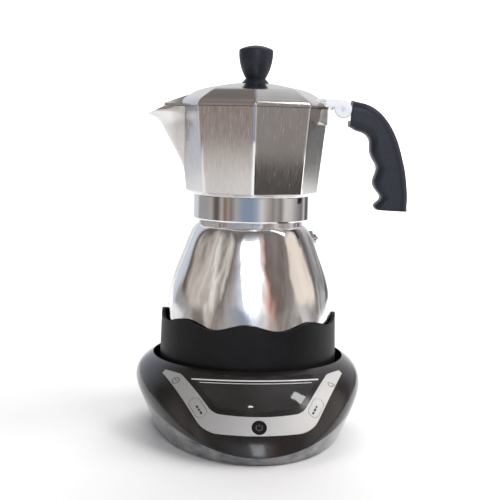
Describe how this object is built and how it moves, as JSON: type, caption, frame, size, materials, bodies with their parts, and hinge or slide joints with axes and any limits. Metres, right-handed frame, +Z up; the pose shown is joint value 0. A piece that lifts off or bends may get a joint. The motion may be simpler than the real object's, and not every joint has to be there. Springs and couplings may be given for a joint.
{
  "type": "electric moka pot",
  "caption": "Faceted aluminium moka pot with spout, hinged lid and finger-grip handle, standing in the well of a dark timer base with a curved control strip, display window and buttons.",
  "frame": {"origin": "centre of the bounding box on the plane of the feet", "axes": "+Z up; the control panel faces -Y; the handle points to +X and the spout to -X"},
  "size_m": [0.1888, 0.1884, 0.2656],
  "materials": {
    "base_dark": "glossy smoked black-brown",
    "base_grey": "glossy silver-grey",
    "smoked_window": "smoked clear",
    "strip_metal": "satin",
    "black_plastic": "matte",
    "skirt_plastic": "satin black",
    "handle_plastic": "textured semi-gloss",
    "polished_aluminium": "mirror polished",
    "cast_aluminium": "fine satin",
    "steel": "satin",
    "brass": "satin",
    "rubber": "matte",
    "seal_rubber": "matte",
    "display": "matte",
    "circuit_board": "satin",
    "component_plastic": "matte"
  },
  "bodies": {
    "base": {"base_top_shell": "base_dark", "base_lower_shell": "base_grey", "rubber_feet": "rubber", "base_screws": "steel", "base_connector": "black_plastic", "connector_contacts": "brass", "connector_screws": "steel", "display_window": "smoked_window", "lcd_module": "display", "control_board": "circuit_board", "tact_switches": "steel", "power_board": "circuit_board", "power_components": "component_plastic", "control_strip": "strip_metal", "cord_gland": "rubber"},
    "power_key": {"power_button": "black_plastic"},
    "timer_pad": {"timer_key": "strip_metal"},
    "mode_pad": {"mode_key": "strip_metal"},
    "seal_ring": {"connector_seal": "rubber"},
    "pot": {"boiler": "polished_aluminium", "skirt": "skirt_plastic", "heater_element": "steel", "thermostat": "steel", "thermal_fuse": "steel", "pot_base_cover": "skirt_plastic", "pot_connector": "black_plastic", "pot_contacts": "brass", "pot_screws": "steel", "safety_valve_body": "brass", "funnel": "cast_aluminium"},
    "valve_stem": {"valve_pin": "steel"},
    "filter_stack": {"gasket": "seal_rubber", "filter_plate": "cast_aluminium"},
    "collector_unit": {"collector": "cast_aluminium", "handle": "handle_plastic", "handle_screw": "steel", "hinge_pin": "steel"},
    "lid_unit": {"lid": "cast_aluminium", "knob": "handle_plastic", "knob_screw": "steel"}
  },
  "joints": [
    {"name": "pot_lift", "type": "slide", "parent": "base", "child": "seal_ring", "axis": [0, 0, 1], "range_m": [0, 0.03]},
    {"name": "pot_turn", "type": "hinge", "parent": "seal_ring", "child": "pot", "pos_m": [-0.01531, 0.01417, 0.06], "axis": [0, 0, 1], "continuous": true},
    {"name": "collector_rise", "type": "slide", "parent": "pot", "child": "filter_stack", "axis": [0, 0, 1], "range_m": [0, 0.009]},
    {"name": "collector_unscrew", "type": "hinge", "parent": "filter_stack", "child": "collector_unit", "pos_m": [-0.01531, 0.01417, 0.15], "axis": [0, 0, 1], "range_deg": [0, 1080]},
    {"name": "lid_hinge", "type": "hinge", "parent": "collector_unit", "child": "lid_unit", "pos_m": [0.04669, 0.01417, 0.2234], "axis": [0, 1, 0], "range_deg": [0, 95]},
    {"name": "power_press", "type": "slide", "parent": "base", "child": "power_key", "axis": [-0.0468, 0.7646, -0.6428], "range_m": [0, 0.001], "stiffness_N_per_m": 800},
    {"name": "timer_press", "type": "slide", "parent": "base", "child": "timer_pad", "axis": [-0.0468, 0.7646, -0.6428], "range_m": [0, 0.0005], "stiffness_N_per_m": 1200},
    {"name": "mode_press", "type": "slide", "parent": "base", "child": "mode_pad", "axis": [-0.0468, 0.7646, -0.6428], "range_m": [0, 0.0005], "stiffness_N_per_m": 1200},
    {"name": "valve_press", "type": "slide", "parent": "pot", "child": "valve_stem", "axis": [-0.9845, -0.1754, 0], "range_m": [0, 0.0008], "stiffness_N_per_m": 600}
  ],
  "couplings": [
    {"joint": "collector_rise", "follows": "collector_unscrew", "m_per_rad": 0.00047746}
  ]
}
